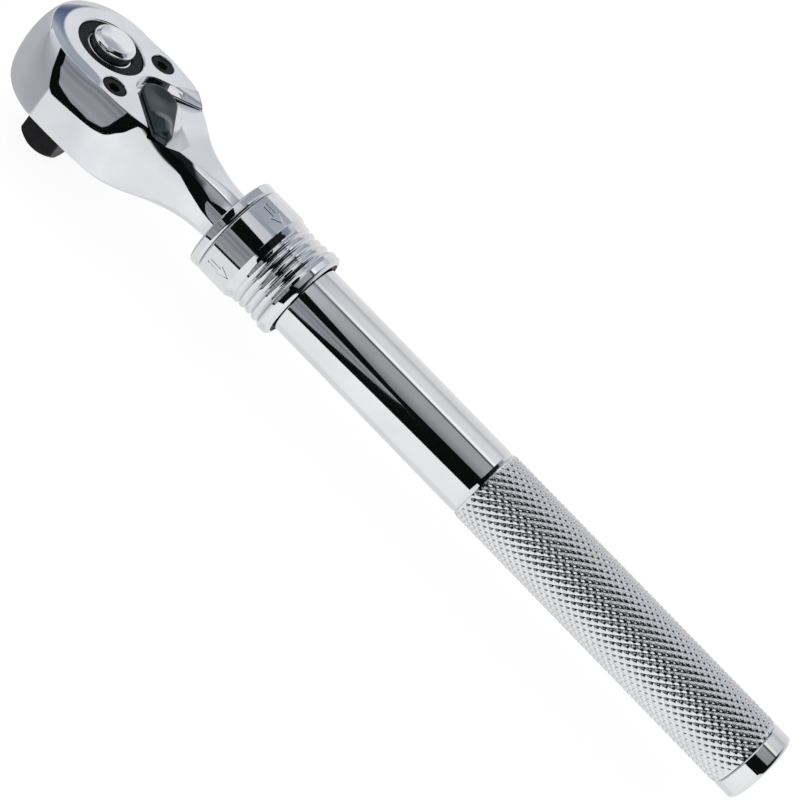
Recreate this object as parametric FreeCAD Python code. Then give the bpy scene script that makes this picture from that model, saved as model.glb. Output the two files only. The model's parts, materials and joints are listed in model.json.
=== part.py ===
"""Extending ratchet wrench, 3/8 in square drive, in millimetres.

+X runs along the handle, +Z points out of the face with the lever and the button.
The origin is the centre of the drive square's end face. Heights inside the head are
measured from the handle's axis and lifted by AXIS_Z when a shape is placed.
"""
import FreeCAD, Part

import math
import os

from FreeCAD import Vector

X_AXIS = Vector(1, 0, 0)
Z_AXIS = Vector(0, 0, 1)

# Driving sizes
DRIVE_SQUARE = 9.525
AXIS_Z = 21.3
FACE = 9.85
UNDERSIDE = -8.3
HANDLE_END = 210.0
EXTENSION = 88.0
EXTENSION_STEP = 22.0
RUNNING_GAP = 0.06
LOOSE_GAP = 0.1

# Head: stations along X as (x, half width, top half width, bottom half width, top, underside)
HEAD_STATIONS = [
    (0.0, 16.3, 14.3, 14.7, FACE, UNDERSIDE),
    (8.0, 16.2, 14.2, 14.65, FACE, UNDERSIDE),
    (14.0, 15.9, 13.7, 14.25, FACE, UNDERSIDE),
    (19.0, 14.9, 12.4, 13.0, FACE - 0.2, UNDERSIDE),
    (23.0, 13.0, 9.9, 10.5, 8.9, -8.1),
    (27.0, 10.6, 7.0, 7.3, 7.7, -7.6),
    (31.0, 8.5, 4.5, 4.7, 6.95, -7.05),
    (35.0, 7.2, 2.5, 2.7, 6.5, -6.55),
    (39.0, 6.5, 1.1, 1.2, 6.3, -6.33),
    (44.3, 6.26, 0.6, 0.6, 6.22, -6.22),
]
WALL_BULGE_Z = -0.6

# Gear, drive square and the pocket they turn in
TOOTH_COUNT = 72
TOOTH_TIP_R = 10.2
TOOTH_ROOT_R = 9.75
POCKET_R = TOOTH_TIP_R + LOOSE_GAP
POCKET_FLOOR = -5.2
PLATE_UNDERSIDE = 6.6
GEAR_TOP = 5.6
HUB_R = 8.0
HUB_TOP = 9.3
HUB_BOTTOM = -8.6
SQUARE_EDGE = 0.45
SQUARE_END_R = 5.2
SQUARE_TAPER = 4.3

# Quick release: button, pin and detent ball
BUTTON_BASE_R = 5.5
BUTTON_RIM_R = 5.07
BUTTON_RIM = 11.4
BUTTON_TOP = 12.4
BUTTON_TOP_R = 4.1
BUTTON_BASE = 8.0
BUTTON_TRAVEL = 2.4
CHAMBER_FLOOR = 5.3
PIN_R = 1.85
PIN_RAMP_R = 1.70
PIN_RAMP_SLOPE = 0.365
PIN_END = -19.0
PIN_WELL_END = -19.6
BALL_R = 1.9
BALL_Z = -15.0
BALL_REST = 3.72
SPRING_WELL_R = 3.4
SPRING_WELL_FLOOR = -2.5
BUTTON_COIL_R = 2.65
BUTTON_WIRE_R = 0.3
BUTTON_COIL_TURNS = 6

# Reversing lever, pawl and plunger
PIVOT_X = 15.5
LEVER_R = 4.6
LEVER_REACH = 11.2
LEVER_TIP_R = 2.5
LEVER_ANGLE = -48.6
LEVER_BOTTOM = 7.75
LEVER_TOP = 9.7
BOSS_TOP = 10.6
POCKET_TOP = 7.6
NOTCH_R = 6.0
NOTCH_ANGLE = 38.0
SHAFT_R = 2.2
SHAFT_FLANGE_R = 3.2
SHAFT_END = -4.0
PAWL_INNER_R = 10.28
PAWL_OUTER_R = 12.0
PAWL_HALF_ANGLE = 30.0
PAWL_OFFSET = 7.5
PLUNGER_Z = 0.5
PLUNGER_R = 0.8
PLUNGER_REACH = 3.35
PLUNGER_COIL_R = 0.5
PLUNGER_WIRE_R = 0.13
PLUNGER_COIL_TURNS = 4

# Cover plate and its screws
PLATE_INSET = 0.8
PLATE_REAR_R = 6.6
PLATE_REAR_ANGLE = 40.0
SCREW_X = 8.7
SCREW_Y = 9.9
SCREW_HEAD_R = 2.75
SCREW_HEAD_TOP = 9.5
SCREW_HEAD_HEIGHT = 1.7
SCREW_SHANK_R = 1.45
SCREW_END = 0.4
SCREW_SOCKET_R = 1.3

# Sliding shank
SHANK_R = 6.2
SHANK_START = 44.3
SHANK_END = 165.0
GROOVE_DEPTH = 0.5
GROOVE_CUTTER_R = 1.65
STOP_WASHER_R = 7.0
STOP_WASHER_T = 2.0
STOP_SCREW_R = 2.5
STOP_SCREW_DEPTH = 12.0
STOP_HEAD_R = 4.4
STOP_HEAD_HEIGHT = 4.0
STOP_SOCKET_R = 2.3

# Handle tube
TUBE_R = 8.96
KNURL_R = 9.3
KNURL_START = 124.6
KNURL_END = 205.0
SLEEVE_R = 8.3
SLEEVE_START = 46.6
SLEEVE_END = 66.9
BORE_R = 7.15
BORE_START = 58.0
PLUG_START = 204.6
END_BAND_R = 9.12
END_FILLET = 1.1

# Locking collar
CAP_START = 44.5
CAP_END = 47.2
CAP_R = 11.95
CAP_EDGE = 0.3
CAP_SKIRT_END = 49.0
CAP_SKIRT_R = 9.2
COLLAR_START = 47.25
COLLAR_END = 68.1
COLLAR_BAND_R = 11.95
COLLAR_BAND_END = 55.5
COLLAR_EDGE = 0.3
COLLAR_GRIP = [  # crests and valleys of the finger grip as (x, radius)
    (56.3, 11.55), (57.3, 11.25), (58.1, 11.15), (58.75, 10.78),
    (59.3, 11.05), (60.0, 11.0), (60.6, 10.65),
    (61.2, 10.95), (61.9, 10.95), (62.5, 10.65),
    (63.1, 11.1), (63.8, 11.15), (64.4, 10.85), (65.2, 11.4),
]
FLANGE_R = 11.62
FLANGE_START = 65.9
COLLAR_LIP_R = 9.3
COLLAR_RECESS_R = 10.25
COLLAR_CHAMBER_R = 10.2
COLLAR_CHAMBER_START = 57.2
COLLAR_COIL_R = 9.2
COLLAR_WIRE_R = 0.35
COLLAR_COIL_TURNS = 4
LOCK_X = 54.5
LOCK_BALL_R = 1.5
LOCK_BALL_COUNT = 3
LOCK_BALL_REST = SHANK_R + 0.05 + LOCK_BALL_R


def at_axis(shape):
    """Lift a shape drawn about the handle's axis to its height above the drive end."""
    placed = shape.copy()
    placed.translate(Vector(0, 0, AXIS_Z))
    return placed


def save(name, shape):
    shape.exportStep("parts/%s.step" % name)
    box = shape.BoundBox
    print("%-16s solids %d valid %s volume %9.2f  x %.1f..%.1f" % (
        name, len(shape.Solids), shape.isValid(), shape.Volume, box.XMin, box.XMax))


def upright(radius, bottom, top, x=0.0, y=0.0):
    """Cylinder along Z."""
    return Part.makeCylinder(radius, top - bottom, Vector(x, y, bottom), Z_AXIS)


def turned(profile):
    """Solid of revolution about the handle's axis from (x, r) points."""
    points = [Vector(x, r, 0) for x, r in profile]
    wire = Part.makePolygon(points + [points[0]])
    return Part.Face(wire).revolve(Vector(0, 0, 0), X_AXIS, 360)


def turned_upright(profile):
    """Solid of revolution about the drive's axis from (r, z) points."""
    points = [Vector(r, 0, z) for r, z in profile]
    wire = Part.makePolygon(points + [points[0]])
    return Part.Face(wire).revolve(Vector(0, 0, 0), Z_AXIS, 360)


def tube_along_x(inner, outer, start, end):
    return turned([(start, inner), (end, inner), (end, outer), (start, outer)])


def arc(start, middle, end):
    return Part.Arc(Vector(*start), Vector(*middle), Vector(*end)).toShape()


def segment(start, end):
    return Part.LineSegment(Vector(*start), Vector(*end)).toShape()


def coil(mean_radius, wire_radius, length, turns, start, tilt):
    """Helical spring along Z, tilted about Y (90 lays it along X) and moved to its start."""
    pitch = length / turns
    helix = Part.makeHelix(pitch, length, mean_radius)
    circle = Part.Circle(Vector(mean_radius, 0, 0), Vector(0, 1, 0), wire_radius)
    section = Part.Wire(circle.toShape())
    spring = Part.Wire(helix.Edges).makePipeShell([section], True, True)
    spring.rotate(Vector(0, 0, 0), Vector(0, 1, 0), tilt)
    spring.translate(start)
    return spring


# ---------------------------------------------------------------- head

def head_section(station):
    """Closed wire of one cross-section: flat top, bowed sides, flat underside."""
    x, half, top_half, bottom_half, top, bottom = station
    middle = WALL_BULGE_Z * (half - SHANK_R) / HEAD_STATIONS[0][1]
    edges = [
        segment((x, -top_half, top), (x, top_half, top)),
        arc((x, top_half, top), (x, half, middle), (x, bottom_half, bottom)),
        segment((x, bottom_half, bottom), (x, -bottom_half, bottom)),
        arc((x, -bottom_half, bottom), (x, -half, middle), (x, -top_half, top)),
    ]
    return Part.Wire(edges)


def head_blank():
    """Round nose turned about the drive's axis, then a loft that draws down to the neck."""
    x, half, top_half, bottom_half, top, bottom = HEAD_STATIONS[0]
    middle = WALL_BULGE_Z * (half - SHANK_R) / half
    profile = Part.Wire([
        segment((0, 0, bottom), (0, bottom_half, bottom)),
        arc((0, bottom_half, bottom), (0, half, middle), (0, top_half, top)),
        segment((0, top_half, top), (0, 0, top)),
        segment((0, 0, top), (0, 0, bottom)),
    ])
    nose = Part.Face(profile).revolve(Vector(0, 0, 0), Z_AXIS, 180)
    neck = Part.makeLoft([head_section(s) for s in HEAD_STATIONS], True, False)
    return nose.fuse(neck).removeSplitter()


def plate_outline(inset, bottom, top):
    """The plateau's outline drawn in by inset, closed by an arc round the lever's pivot."""
    nose_r = HEAD_STATIONS[0][2] - inset
    side_x, side_y = HEAD_STATIONS[2][0], HEAD_STATIONS[2][2] - inset
    mid_x, mid_y = HEAD_STATIONS[1][0], HEAD_STATIONS[1][2] - inset
    rear_r = PLATE_REAR_R - inset + PLATE_INSET
    rear_x = PIVOT_X + rear_r * math.cos(math.radians(PLATE_REAR_ANGLE))
    rear_y = rear_r * math.sin(math.radians(PLATE_REAR_ANGLE))
    wire = Part.Wire([
        arc((0, -nose_r, bottom), (-nose_r, 0, bottom), (0, nose_r, bottom)),
        arc((0, nose_r, bottom), (mid_x, mid_y, bottom), (side_x, side_y, bottom)),
        segment((side_x, side_y, bottom), (rear_x, rear_y, bottom)),
        arc((rear_x, rear_y, bottom), (PIVOT_X + rear_r, 0, bottom), (rear_x, -rear_y, bottom)),
        segment((rear_x, -rear_y, bottom), (side_x, -side_y, bottom)),
        arc((side_x, -side_y, bottom), (mid_x, -mid_y, bottom), (0, -nose_r, bottom)),
    ])
    return Part.Face(wire).extrude(Vector(0, 0, top - bottom))


def lever_notch():
    """Pocket for the lever: an arc round the pivot that flares out to both sides."""
    angle = math.radians(90 + NOTCH_ANGLE)
    tangent_x = PIVOT_X + NOTCH_R * math.cos(angle)
    tangent_y = NOTCH_R * math.sin(angle)
    run = 40.0
    far_x = tangent_x + run * math.cos(math.radians(NOTCH_ANGLE))
    far_y = tangent_y + run * math.sin(math.radians(NOTCH_ANGLE))
    wire = Part.Wire([
        arc((tangent_x, -tangent_y, POCKET_TOP), (PIVOT_X - NOTCH_R, 0, POCKET_TOP),
            (tangent_x, tangent_y, POCKET_TOP)),
        segment((tangent_x, tangent_y, POCKET_TOP), (far_x, far_y, POCKET_TOP)),
        segment((far_x, far_y, POCKET_TOP), (far_x, -far_y, POCKET_TOP)),
        segment((far_x, -far_y, POCKET_TOP), (tangent_x, -tangent_y, POCKET_TOP)),
    ])
    return Part.Face(wire).extrude(Vector(0, 0, FACE))


def sector(inner, outer, half_angle, bottom, top, middle=0.0):
    """Ring segment about the drive's axis."""
    ring = upright(outer, bottom, top).cut(upright(inner, bottom, top))
    reach = 2 * outer
    corners = [Vector(0, 0, bottom)]
    for angle in (-half_angle, 0, half_angle):
        turn = math.radians(middle + angle)
        corners.append(Vector(reach * math.cos(turn), reach * math.sin(turn), bottom))
    wedge = Part.Face(Part.makePolygon(corners + [corners[0]])).extrude(Vector(0, 0, top - bottom))
    return ring.common(wedge)


def screw_places():
    return [(SCREW_X, side * SCREW_Y) for side in (-1, 1)]


def shank_grooves():
    """Round detent grooves, one for each locked length."""
    ring_r = SHANK_R + GROOVE_CUTTER_R - GROOVE_DEPTH
    count = int(EXTENSION / EXTENSION_STEP) + 1
    places = [LOCK_X + EXTENSION_STEP * i for i in range(count)]
    return [Part.makeTorus(ring_r, GROOVE_CUTTER_R, Vector(x, 0, 0), X_AXIS) for x in places]


def ratchet_body():
    body = head_blank()
    shank = turned([(SHANK_START - 4, 0), (SHANK_END, 0), (SHANK_END, SHANK_R - 0.6),
                    (SHANK_END - 0.6, SHANK_R), (SHANK_START - 4, SHANK_R)])
    body = body.fuse(shank)
    cutters = shank_grooves()
    cutters.append(upright(POCKET_R, POCKET_FLOOR, FACE + 1))
    cutters.append(upright(HUB_R + RUNNING_GAP, UNDERSIDE - 1, FACE))
    pawl_swing = PAWL_HALF_ANGLE + PAWL_OFFSET + 1.0
    cutters.append(sector(HUB_R, PAWL_OUTER_R + 0.2, pawl_swing, POCKET_FLOOR, FACE))
    cutters.append(plate_outline(PLATE_INSET, PLATE_UNDERSIDE, FACE + 1))
    cutters.append(lever_notch())
    cutters.append(upright(SHAFT_R + RUNNING_GAP, SHAFT_END - 0.3, FACE, PIVOT_X))
    cutters.append(upright(SHAFT_FLANGE_R + LOOSE_GAP, 5.0, FACE, PIVOT_X))
    cutters.append(upright(PLUNGER_REACH + 0.2, PLUNGER_Z - 1.0, PLUNGER_Z + 1.0, PIVOT_X))
    for x, y in screw_places():
        cutters.append(upright(SCREW_SHANK_R + RUNNING_GAP, SCREW_END - 0.5, FACE, x, y))
    hole_start = Vector(SHANK_END - STOP_SCREW_DEPTH - 3, 0, 0)
    hole_r = STOP_SCREW_R + RUNNING_GAP
    cutters.append(Part.makeCylinder(hole_r, STOP_SCREW_DEPTH + 4, hole_start, X_AXIS))
    return body.cut(Part.makeCompound(cutters)).removeSplitter()


def cover_plate():
    plate = plate_outline(PLATE_INSET + 0.04, PLATE_UNDERSIDE, FACE)
    cutters = [lever_notch()]
    cutters.append(upright(HUB_R + RUNNING_GAP, 0, FACE + 1))
    cutters.append(upright(SHAFT_R + RUNNING_GAP, 0, FACE, PIVOT_X))
    for x, y in screw_places():
        cutters.append(upright(SCREW_SHANK_R + RUNNING_GAP, 0, FACE, x, y))
        cutters.append(upright(SCREW_HEAD_R + LOOSE_GAP, SCREW_HEAD_TOP - SCREW_HEAD_HEIGHT,
                               FACE + 1, x, y))
    return plate.cut(Part.makeCompound(cutters))


def hex_socket(radius, bottom, top, x, y):
    corners = []
    for i in range(6):
        angle = math.radians(60 * i)
        corners.append(Vector(x + radius * math.cos(angle), y + radius * math.sin(angle), bottom))
    return Part.Face(Part.makePolygon(corners + [corners[0]])).extrude(Vector(0, 0, top - bottom))


def cover_screws():
    screws = []
    seat = SCREW_HEAD_TOP - SCREW_HEAD_HEIGHT
    for x, y in screw_places():
        head = upright(SCREW_HEAD_R, seat, SCREW_HEAD_TOP, x, y)
        shank = upright(SCREW_SHANK_R, SCREW_END, seat, x, y)
        socket = hex_socket(SCREW_SOCKET_R, seat + 0.5, FACE, x, y)
        screws.append(head.fuse(shank).removeSplitter().cut(socket))
    return Part.makeCompound(screws)


# ---------------------------------------------------------------- drive

def toothed_disc():
    points = []
    for i in range(2 * TOOTH_COUNT):
        radius = TOOTH_TIP_R if i % 2 == 0 else TOOTH_ROOT_R
        angle = math.pi * i / TOOTH_COUNT
        points.append(Vector(radius * math.cos(angle), radius * math.sin(angle), POCKET_FLOOR + 0.1))
    face = Part.Face(Part.makePolygon(points + [points[0]]))
    return face.extrude(Vector(0, 0, GEAR_TOP - POCKET_FLOOR - 0.1))


def drive_square():
    side = DRIVE_SQUARE
    block = Part.makeBox(side, side, AXIS_Z + HUB_BOTTOM + 1, Vector(-side / 2, -side / 2, -AXIS_Z))
    block = block.common(upright(side / math.sqrt(2) - SQUARE_EDGE, -AXIS_Z, HUB_BOTTOM + 1))
    taper = turned_upright([(0, -AXIS_Z), (SQUARE_END_R, -AXIS_Z),
                            (SQUARE_END_R + SQUARE_TAPER, -AXIS_Z + SQUARE_TAPER),
                            (side, 0), (0, 0)])
    return block.common(taper)


def drive_gear():
    gear = toothed_disc().fuse(upright(HUB_R, HUB_BOTTOM, HUB_TOP)).fuse(drive_square())
    chamber_r = BUTTON_BASE_R + LOOSE_GAP
    cutters = [
        upright(chamber_r, CHAMBER_FLOOR, HUB_TOP + 1),
        upright(SPRING_WELL_R, SPRING_WELL_FLOOR, HUB_TOP),
        upright(PIN_R + RUNNING_GAP, PIN_WELL_END, HUB_TOP),
        Part.makeCylinder(BALL_R + 0.05, DRIVE_SQUARE, Vector(0, 0, BALL_Z), Vector(0, 1, 0)),
    ]
    return gear.cut(Part.makeCompound(cutters)).removeSplitter()


def wave_washer():
    """Flat spring ring between the gear and the cover plate, drawn at its working height."""
    ring_outer = upright(TOOTH_ROOT_R - 0.15, GEAR_TOP + 0.05, PLATE_UNDERSIDE - 0.1)
    return ring_outer.cut(upright(HUB_R + LOOSE_GAP, GEAR_TOP, PLATE_UNDERSIDE))


def release_button():
    blank = turned_upright([(0, BUTTON_BASE), (BUTTON_BASE_R, BUTTON_BASE),
                            (BUTTON_BASE_R, HUB_TOP - 0.2), (BUTTON_RIM_R, BUTTON_RIM),
                            (BUTTON_TOP_R, BUTTON_TOP - 0.2), (BUTTON_TOP_R - 1.4, BUTTON_TOP),
                            (0, BUTTON_TOP)])
    return blank.cut(upright(PIN_R, 0, BUTTON_BASE + 1.5))


def release_pin():
    """Pin with a ramp beside the ball: pushing it down lets the ball drop inwards."""
    ramp_end = BALL_Z + BUTTON_TRAVEL
    neck_r = PIN_RAMP_R - PIN_RAMP_SLOPE * BUTTON_TRAVEL
    return turned_upright([
        (0, PIN_END + BUTTON_TRAVEL), (PIN_R - 0.2, PIN_END + BUTTON_TRAVEL),
        (PIN_R, PIN_END + BUTTON_TRAVEL + 0.2), (PIN_R, BALL_Z - 0.65),
        (PIN_RAMP_R, BALL_Z - 0.6), (PIN_RAMP_R, BALL_Z),
        (neck_r, ramp_end), (neck_r, ramp_end + BALL_R + 0.1),
        (PIN_R, ramp_end + BALL_R + 1.1), (PIN_R, BUTTON_BASE + 1.5), (0, BUTTON_BASE + 1.5)])


def button_spring():
    start = SPRING_WELL_FLOOR + 0.35
    length = BUTTON_BASE - 0.35 - start
    return coil(BUTTON_COIL_R, BUTTON_WIRE_R, length, BUTTON_COIL_TURNS, Vector(0, 0, start), 0)


def detent_ball():
    return Part.makeSphere(BALL_R, Vector(0, BALL_REST, BALL_Z))


# ---------------------------------------------------------------- reversing gear

def pawl():
    """Crescent with teeth at both ends, drawn just clear of the gear's teeth."""
    step = 180.0 / TOOTH_COUNT
    count = int(PAWL_HALF_ANGLE / step)
    points = []
    for i in range(-count, count + 1):
        radius = PAWL_INNER_R if i % 2 else PAWL_INNER_R + TOOTH_TIP_R - TOOTH_ROOT_R
        angle = math.radians(PAWL_OFFSET + i * step)
        points.append(Vector(radius * math.cos(angle), radius * math.sin(angle), 0))
    edges = [Part.LineSegment(a, b).toShape() for a, b in zip(points, points[1:])]
    outer = []
    for angle in (count * step, 0, -count * step):
        turn = math.radians(PAWL_OFFSET + angle)
        outer.append(Vector(PAWL_OUTER_R * math.cos(turn), PAWL_OUTER_R * math.sin(turn), 0))
    edges.append(Part.LineSegment(points[-1], outer[0]).toShape())
    edges.append(Part.Arc(*outer).toShape())
    edges.append(Part.LineSegment(outer[2], points[0]).toShape())
    shape = Part.Face(Part.Wire(edges)).extrude(Vector(0, 0, GEAR_TOP - POCKET_FLOOR - 0.3))
    shape.translate(Vector(0, 0, POCKET_FLOOR + 0.2))
    return shape


def lever_direction():
    angle = math.radians(LEVER_ANGLE)
    return math.cos(angle), math.sin(angle)


def bullet(base_r, tip_r, start, reach, bottom, top):
    """Two discs joined by tangent sides, laid along the lever from its pivot."""
    lean = math.asin((base_r - tip_r) / (reach - start))
    side = math.pi / 2 - lean
    base_x, base_y = start + base_r * math.cos(side), base_r * math.sin(side)
    tip_x, tip_y = reach + tip_r * math.cos(side), tip_r * math.sin(side)
    wire = Part.Wire([
        arc((base_x, base_y, bottom), (start - base_r, 0, bottom), (base_x, -base_y, bottom)),
        segment((base_x, -base_y, bottom), (tip_x, -tip_y, bottom)),
        arc((tip_x, -tip_y, bottom), (reach + tip_r, 0, bottom), (tip_x, tip_y, bottom)),
        segment((tip_x, tip_y, bottom), (base_x, base_y, bottom)),
    ])
    return Part.Face(wire).extrude(Vector(0, 0, top - bottom))


def reversing_lever():
    """Shaft with a retaining flange, bullet-shaped paddle and a raised thumb boss."""
    paddle = bullet(LEVER_R, LEVER_TIP_R, 0, LEVER_REACH, LEVER_BOTTOM, LEVER_TOP)
    boss = bullet(LEVER_TIP_R - 0.3, LEVER_TIP_R - 0.8, 6.0, LEVER_REACH, LEVER_TOP - 0.5, BOSS_TOP)
    shaft = upright(SHAFT_R, SHAFT_END, LEVER_BOTTOM + 0.5)
    flange = upright(SHAFT_FLANGE_R, 5.2, PLATE_UNDERSIDE - 0.1)
    lever = paddle.fuse(boss).fuse(shaft).fuse(flange).removeSplitter()
    well = Part.makeCylinder(PLUNGER_R + 0.05, 6, Vector(1.2, 0, PLUNGER_Z), Vector(-1, 0, 0))
    return place_at_pivot(lever.cut(well))


def place_at_pivot(shape):
    shape.rotate(Vector(0, 0, 0), Z_AXIS, LEVER_ANGLE)
    shape.translate(Vector(PIVOT_X, 0, 0))
    return shape


def pawl_plunger():
    rod = Part.makeCylinder(PLUNGER_R, 2.0, Vector(-PLUNGER_REACH + 0.6, 0, PLUNGER_Z), X_AXIS)
    nose = Part.makeSphere(PLUNGER_R, Vector(-PLUNGER_REACH + PLUNGER_R, 0, PLUNGER_Z))
    return place_at_pivot(rod.fuse(nose).removeSplitter())


def plunger_spring():
    start = Vector(-PLUNGER_REACH + 2.75, 0, PLUNGER_Z)
    return place_at_pivot(coil(PLUNGER_COIL_R, PLUNGER_WIRE_R, 1.65, PLUNGER_COIL_TURNS, start, 90))


# ---------------------------------------------------------------- handle

def handle_tube():
    end = HANDLE_END
    rim = []
    for angle in (90, 60, 30, 0):
        turn = math.radians(angle)
        rim.append((end - END_FILLET + END_FILLET * math.sin(turn),
                    END_BAND_R - END_FILLET + END_FILLET * math.cos(turn)))
    tube = turned([(SLEEVE_START, SHANK_R + RUNNING_GAP), (BORE_START, SHANK_R + RUNNING_GAP),
                   (BORE_START, BORE_R), (end, BORE_R)] + rim +
                  [(KNURL_END + 0.3, END_BAND_R), (KNURL_END, KNURL_R), (KNURL_START, KNURL_R),
                   (KNURL_START - 0.3, TUBE_R), (SLEEVE_END, TUBE_R),
                   (SLEEVE_END, SLEEVE_R), (SLEEVE_START, SLEEVE_R)])
    holes = []
    for direction in lock_directions():
        holes.append(Part.makeCylinder(LOCK_BALL_R + 0.06, 12, Vector(LOCK_X, 0, 0), direction))
    return tube.cut(Part.makeCompound(holes))


def lock_directions():
    directions = []
    for i in range(LOCK_BALL_COUNT):
        angle = math.radians(90 + 360.0 * i / LOCK_BALL_COUNT)
        directions.append(Vector(0, math.cos(angle), math.sin(angle)))
    return directions


def guide_bush():
    return tube_along_x(SHANK_R + 0.05, BORE_R - 0.02, BORE_START + 0.05, BORE_START + 10)


def end_plug():
    return turned([(PLUG_START, 0), (HANDLE_END, 0), (HANDLE_END, BORE_R - 0.03),
                   (PLUG_START + 0.5, BORE_R - 0.03), (PLUG_START, BORE_R - 0.5)])


def front_cap():
    """Ring screwed on the sleeve's end; it holds the wiper and stops the collar."""
    return turned([(CAP_START, SHANK_R + 0.35), (CAP_START + 1.0, SHANK_R + 0.35),
                   (CAP_START + 1.0, SLEEVE_R + 0.02), (CAP_SKIRT_END, SLEEVE_R + 0.02),
                   (CAP_SKIRT_END, CAP_SKIRT_R), (CAP_END, CAP_SKIRT_R),
                   (CAP_END, CAP_R), (CAP_START + CAP_EDGE, CAP_R),
                   (CAP_START, CAP_R - CAP_EDGE)])


def wiper_ring():
    return tube_along_x(SHANK_R + 0.1, SLEEVE_R - 0.1, CAP_START + 1.05, SLEEVE_START - 0.05)


def lock_collar():
    """Sliding collar: plain band, waved grip and rear flange outside; ball cam inside."""
    outside = [(COLLAR_START, COLLAR_BAND_R - COLLAR_EDGE),
               (COLLAR_START + COLLAR_EDGE, COLLAR_BAND_R), (COLLAR_BAND_END, COLLAR_BAND_R)]
    outside += COLLAR_GRIP
    outside += [(FLANGE_START, FLANGE_R), (COLLAR_END - 0.8, FLANGE_R - 0.1),
                (COLLAR_END, FLANGE_R - 0.8)]
    inside = [(COLLAR_END, COLLAR_CHAMBER_R), (COLLAR_CHAMBER_START, COLLAR_CHAMBER_R),
              (COLLAR_CHAMBER_START, COLLAR_LIP_R), (LOCK_X + 0.3, COLLAR_LIP_R),
              (LOCK_X - 4.8, COLLAR_RECESS_R), (COLLAR_START + 0.65, COLLAR_RECESS_R),
              (COLLAR_START + 0.65, COLLAR_LIP_R), (COLLAR_START, COLLAR_LIP_R)]
    return turned(outside + inside)


def spring_seat():
    return tube_along_x(SLEEVE_R + 0.03, COLLAR_CHAMBER_R - LOOSE_GAP, SLEEVE_END - 1.7, SLEEVE_END)


def collar_spring():
    start = COLLAR_CHAMBER_START + 0.45
    length = SLEEVE_END - 1.7 - 0.45 - start
    return coil(COLLAR_COIL_R, COLLAR_WIRE_R, length, COLLAR_COIL_TURNS, Vector(start, 0, 0), 90)


def lock_ball(direction):
    return Part.makeSphere(LOCK_BALL_R, Vector(LOCK_X, 0, 0) + direction * LOCK_BALL_REST)


def stop_washer():
    return tube_along_x(2.6, STOP_WASHER_R, SHANK_END + 0.02, SHANK_END + STOP_WASHER_T)


def stop_screw():
    """Cap screw that holds the stop washer on the shank's end."""
    seat = SHANK_END + STOP_WASHER_T + 0.02
    top = seat + STOP_HEAD_HEIGHT
    start = SHANK_END - STOP_SCREW_DEPTH
    screw = turned([(start, 0), (top, 0), (top, STOP_HEAD_R - 0.4), (top - 0.4, STOP_HEAD_R),
                    (seat, STOP_HEAD_R), (seat, STOP_SCREW_R), (start + 0.5, STOP_SCREW_R),
                    (start, STOP_SCREW_R - 0.5)])
    corners = []
    for i in range(6):
        angle = math.radians(60 * i)
        corners.append(Vector(seat + 1.8, STOP_SOCKET_R * math.cos(angle),
                              STOP_SOCKET_R * math.sin(angle)))
    socket = Part.Face(Part.makePolygon(corners + [corners[0]])).extrude(Vector(4, 0, 0))
    return screw.cut(socket)


def main():
    os.makedirs("parts", exist_ok=True)
    pieces = {
        "ratchet_body": ratchet_body(),
        "cover_plate": cover_plate(),
        "cover_screws": cover_screws(),
        "drive_gear": drive_gear(),
        "wave_washer": wave_washer(),
        "release_button": release_button(),
        "release_pin": release_pin(),
        "button_spring": button_spring(),
        "detent_ball": detent_ball(),
        "pawl": pawl(),
        "reversing_lever": reversing_lever(),
        "pawl_plunger": pawl_plunger(),
        "plunger_spring": plunger_spring(),
        "handle_tube": handle_tube(),
        "guide_bush": guide_bush(),
        "end_plug": end_plug(),
        "front_cap": front_cap(),
        "wiper_ring": wiper_ring(),
        "lock_collar": lock_collar(),
        "spring_seat": spring_seat(),
        "collar_spring": collar_spring(),
        "stop_washer": stop_washer(),
        "stop_screw": stop_screw(),
    }
    for number, direction in enumerate(lock_directions(), 1):
        pieces["lock_ball_%d" % number] = lock_ball(direction)
    for name, shape in pieces.items():
        save(name, at_axis(shape))


main()
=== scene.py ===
"""Looks of the extending ratchet wrench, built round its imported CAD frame.

Sizes are in millimetres, with heights measured from the handle's axis as in the CAD;
solid() turns them into metres in the row's frame.
"""

import json
import math

import bmesh
import bpy
from mathutils import Matrix, Vector
from mathutils.bvhtree import BVHTree


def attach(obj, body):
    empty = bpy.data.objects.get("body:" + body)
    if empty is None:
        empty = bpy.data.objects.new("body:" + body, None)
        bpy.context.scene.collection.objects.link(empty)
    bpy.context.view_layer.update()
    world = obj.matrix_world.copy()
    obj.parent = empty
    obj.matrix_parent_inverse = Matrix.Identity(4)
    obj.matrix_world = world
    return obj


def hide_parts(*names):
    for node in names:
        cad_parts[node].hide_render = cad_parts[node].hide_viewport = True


MM = 0.001
AXIS_Z = 21.3
TINY = 1e-7
TURN = 2 * math.pi

# Head, close to the CAD's: (x, half width, top half width, bottom half width, top, underside)
FACE = 9.85
UNDERSIDE = -8.3
HEAD = [
    (0.0, 16.35, 14.3, 14.7, FACE, UNDERSIDE),
    (4.0, 16.31, 14.28, 14.68, FACE, UNDERSIDE),
    (8.0, 16.17, 14.14, 14.56, FACE, UNDERSIDE),
    (14.0, 15.72, 13.58, 14.1, FACE, UNDERSIDE),
    (19.0, 14.75, 12.2, 12.8, FACE - 0.1, UNDERSIDE),
    (23.0, 12.95, 9.8, 10.4, 8.95, -8.1),
    (27.0, 10.55, 6.9, 7.4, 7.8, -7.55),
    (31.0, 8.45, 4.4, 4.6, 7.0, -7.0),
    (35.0, 7.15, 2.5, 2.6, 6.55, -6.5),
    (39.0, 6.48, 1.0, 1.1, 6.33, -6.33),
    (44.3, 6.24, 0.4, 0.4, 6.22, -6.22),
]
CROWN_START = 0.77
CROWN_DROP = 0.48
EDGE_ROUND = 0.16
NOTCH_R = 5.75
NOTCH_ANGLE = 38.0
SCOOP_SPREAD = math.radians(18.6)
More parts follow.
